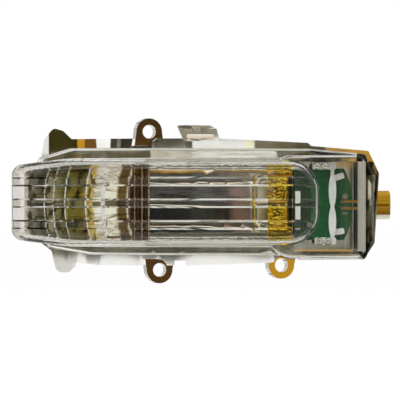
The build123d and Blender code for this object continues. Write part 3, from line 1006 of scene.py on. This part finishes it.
    def reflected(self, nodes: Nodes, azimuth: Socket, height: Socket) -> Socket:
        """Colour that a polished surface sees in a direction.

        Args:
            nodes: the world's builder.
            azimuth: the direction's azimuth in degrees.
            height: the direction's height in degrees.

        Returns:
            The colour.
        """
        stir = self.cells(nodes, azimuth, height, self.stir_cells, 2.0) - 0.5
        stirred = azimuth + stir * self.stir
        level = self.bands(nodes, azimuth, self.level)
        table = self.bands(nodes, azimuth, self.table)
        beyond = self.bands(nodes, azimuth, self.beyond)
        high = self.bands(nodes, stirred, self.high)
        hooked = self.bands(nodes, stirred, self.hooked)
        ledge = self.bands(nodes, stirred, self.ledge)
        eddy = self.cells(nodes, azimuth, height, self.swirl_cells, 1.0)
        hooked = nodes.blend(azimuth.between(*self.hook), hooked, nodes.ramp(eddy, self.swirl))
        fine = self.cells(nodes, azimuth, height, self.fine_cells, 2.0)
        ledge = nodes.times(ledge, nodes.fade(fine, self.finely, self.fine, WHITE))
        streak = self.cells(nodes, azimuth, height, self.dim_cells, 3.0)
        tone = nodes.fade(streak, self.dimmed, self.dim, WHITE)
        beyond = nodes.blend(azimuth.above(self.dim_from), beyond, nodes.times(beyond, tone))
        sky = nodes.times(self.sky, tone)
        layers = (
            (-self.sky_from, beyond),
            (-self.beyond_from, table),
            (self.shadow_from, self.shadow_line),
            (self.level_from, level),
            (self.ledge_from, ledge),
            (self.high_from, high),
            (self.hooked_from, hooked),
            (self.beyond_from, beyond),
            (self.sky_from, sky),
        )
        seen = sky
        for start, colour in layers:
            seen = nodes.blend(height.above(start), seen, colour)
        flange = azimuth.between(*self.flange)
        below = flange * height.between(self.shadow_from, 0.0)
        above = flange * height.between(0.0, self.high_from)
        seen = nodes.blend(below, seen, nodes.times(self.shadow_line, tone))
        seen = nodes.blend(above, seen, ledge)
        facing = height.between(self.level_from, self.ledge_from)
        mirror = azimuth.between(self.mirror_bands[0][0], self.mirror_bands[-1][0])
        seen = nodes.blend(mirror * facing, seen, self.mirror(nodes, azimuth))
        tall = azimuth.between(*self.tall) * height.between(self.tall_from, self.level_from)
        return nodes.blend(tall, seen, level)

    def mirror(self, nodes: Nodes, azimuth: Socket) -> Socket:
        """Colours that the flat mirror sees, on a ramp of its own for bands so narrow.

        Args:
            nodes: the world's builder.
            azimuth: the direction's azimuth in degrees.

        Returns:
            The colour.
        """
        first, last = self.mirror_bands[0][0], self.mirror_bands[-1][0]
        stops = [((angle - first) / (last - first), colour) for angle, colour in self.mirror_bands]
        return nodes.steps((azimuth - first) / (last - first), tuple(stops))

    @staticmethod
    def bands(nodes: Nodes, azimuth: Socket, bands: Stops) -> Socket:
        """Colours in hard bands, each of which begins at an azimuth."""
        stops = [((angle + 180) / 360, colour) for angle, colour in bands]
        return nodes.steps((azimuth + 180) / 360, tuple(stops))

    @staticmethod
    def cells(
        nodes: Nodes, azimuth: Socket, height: Socket, per_degree: Span, detail: float
    ) -> Socket:
        """Noise with its own number of cells to a degree of azimuth and of height."""
        place = nodes.joined(azimuth * per_degree[0], height * per_degree[1])
        return nodes.noise(place, 1.0, detail)


@dataclass
class Studio:
    """Camera, floor and lamps."""

    distance: float = 1200 * MM
    frame_width: float = 152 * MM
    sensor: float = 36.0
    nearest: float = 10 * MM
    off_middle: tuple[float, float, float] = (0.7 * MM, 0.0, 0.3 * MM)
    floor_drop: float = 40 * MM
    floor_half: float = 6.0
    floor_glow: float = 0.94
    paper: Colour = (0.9, 0.9, 0.9)
    paper_roughness: float = 0.9
    lamps: tuple[tuple[str, tuple[float, float, float], float, float], ...] = (
        ("key_lamp", (-0.5, -0.7, 0.8), 0.9, 7.0),
        ("fill_lamp", (0.9, -0.5, 0.5), 0.9, 4.0),
        ("rim_lamp", (0.1, 0.8, 0.7), 0.7, 3.0),
    )

    def build(self) -> None:
        """Build the studio."""
        low, high = Vector(CAD_BOX[0]), Vector(CAD_BOX[1])
        aim = (low + high) / 2 + Vector(self.off_middle)
        aim.y = low.y
        self.camera(aim)
        self.floor(low.z - self.floor_drop)
        for name, place, size, power in self.lamps:
            self.lamp(name, aim, Vector(place), size, power)

    def camera(self, aim: Vector) -> None:
        """Place the camera level with the aim and square to the lamp.

        Args:
            aim: the point in the middle of the picture.
        """
        data = bpy.data.cameras.new("view")
        data.sensor_width = self.sensor
        data.lens = self.sensor * self.distance / self.frame_width
        data.clip_start = self.nearest
        camera = bpy.data.objects.new("view", data)
        camera.location = aim - Vector((0, self.distance, 0))
        camera.rotation_euler = (math.radians(90), 0, 0)
        bpy.context.scene.collection.objects.link(camera)
        bpy.context.scene.camera = camera

    def floor(self, height: float) -> None:
        """Add the floor, which keeps a soft shadow and is otherwise as white as the background.

        Args:
            height: where it lies, in metres.
        """
        work = bmesh.new()
        bmesh.ops.create_grid(work, x_segments=1, y_segments=1, size=self.floor_half)
        bmesh.ops.translate(work, verts=work.verts, vec=Vector((0, 0, height)))
        mesh = bpy.data.meshes.new("floor")
        work.to_mesh(mesh)
        work.free()
        floor = bpy.data.objects.new("floor", mesh)
        floor.visible_glossy = False
        floor.visible_transmission = False
        bpy.context.scene.collection.objects.link(floor)
        material, nodes = material_nodes("pale_floor")
        path = nodes.add("ShaderNodeLightPath")
        direct = nodes.out(path, "Is Camera Ray").either(nodes.out(path, "Is Transmission Ray"))
        paper = nodes.principled(
            Base_Color=self.paper, Roughness=self.paper_roughness, Specular_IOR_Level=0.0
        )
        glow = nodes.add("ShaderNodeEmission", None, {"Color": WHITE, "Strength": 1.0})
        nodes.surface(nodes.mixed(direct * self.floor_glow, paper, nodes.out(glow)))
        mesh.materials.append(material)

    @staticmethod
    def lamp(name: str, aim: Vector, place: Vector, size: float, power: float) -> None:
        """Add a soft lamp that the polished surfaces don't show.

        Args:
            name: the lamp's name.
            aim: the point that it lights.
            place: where it stands from that point, in metres.
            size: the side of its square.
            power: its power in watts.
        """
        data = bpy.data.lights.new(name, "AREA")
        data.size = size
        data.energy = power
        lamp = bpy.data.objects.new(name, data)
        lamp.location = aim + place
        lamp.rotation_euler = (-place).to_track_quat("-Z", "Y").to_euler()
        lamp.visible_glossy = False
        lamp.visible_transmission = False
        lamp.visible_camera = False
        bpy.context.scene.collection.objects.link(lamp)


def main() -> None:
    """Build everything in order."""
    logging.basicConfig(level=logging.INFO)
    bpy.context.scene.view_settings.view_transform = "Standard"
    Surroundings().build()
    Studio().build()
    Housing().build()
    Lens().build()
    Board().build()


if __name__ == "__main__":
    main()
